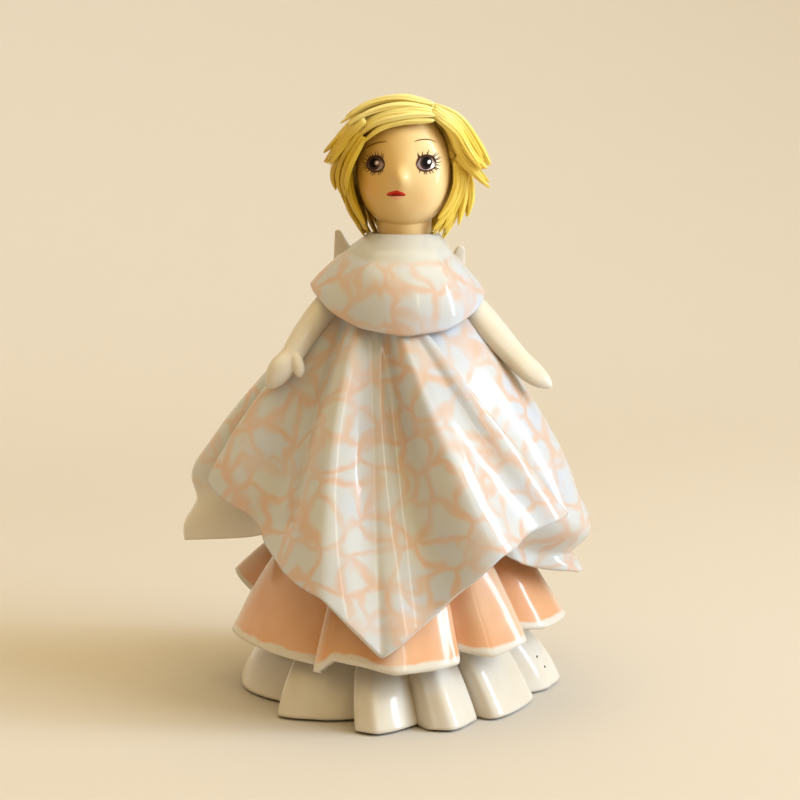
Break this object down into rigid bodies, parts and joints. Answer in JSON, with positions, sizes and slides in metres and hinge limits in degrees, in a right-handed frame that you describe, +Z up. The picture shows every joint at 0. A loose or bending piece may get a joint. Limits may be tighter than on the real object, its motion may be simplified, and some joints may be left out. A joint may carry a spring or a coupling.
{
  "type": "porcelain angel figurine",
  "caption": "Standing porcelain angel with ruffled skirts, a draped overskirt, a capelet, small wings and short wavy hair, made to rest on a shelf.",
  "frame": {"origin": "on the table under the middle of the object's box", "axes": "+Z up, -Y towards the viewer of the picture, +X to the viewer's right"},
  "size_m": [0.102, 0.0908, 0.1499],
  "materials": {
    "white_porcelain": "glazed white porcelain",
    "pink_porcelain": "glazed peach pink porcelain",
    "patterned_porcelain": "glazed white porcelain with pale pink inlaid lines",
    "skin_porcelain": "glazed skin-coloured porcelain, painted face",
    "yellow_clay": "satin yellow stained clay"
  },
  "bodies": {
    "root": {"body_core": "white_porcelain", "capelet": "patterned_porcelain", "hair_back_1": "yellow_clay", "hair_back_2": "yellow_clay", "hair_back_3": "yellow_clay", "hair_back_4": "yellow_clay", "hair_back_5": "yellow_clay", "hair_back_6": "yellow_clay", "hair_back_7": "yellow_clay", "hair_cap": "yellow_clay", "hair_crown_back": "yellow_clay", "hair_crown_front": "yellow_clay", "hair_crown_middle": "yellow_clay", "hair_fringe": "yellow_clay", "hair_left_face_lock": "yellow_clay", "hair_left_flick": "yellow_clay", "hair_left_sweep_1": "yellow_clay", "hair_left_sweep_2": "yellow_clay", "hair_left_sweep_3": "yellow_clay", "hair_left_sweep_4": "yellow_clay", "hair_left_under_1": "yellow_clay", "hair_left_under_2": "yellow_clay", "hair_left_under_3": "yellow_clay", "hair_right_flick_1": "yellow_clay", "hair_right_flick_2": "yellow_clay", "hair_right_side_1": "yellow_clay", "hair_right_side_2": "yellow_clay", "hair_right_under_1": "yellow_clay", "hair_right_under_2": "yellow_clay", "head": "skin_porcelain", "left_arm": "white_porcelain", "left_wing": "white_porcelain", "overskirt_back": "patterned_porcelain", "overskirt_front": "patterned_porcelain", "pink_skirt": "pink_porcelain", "right_arm": "white_porcelain", "right_wing": "white_porcelain", "white_skirt": "white_porcelain"}
  },
  "joints": []
}
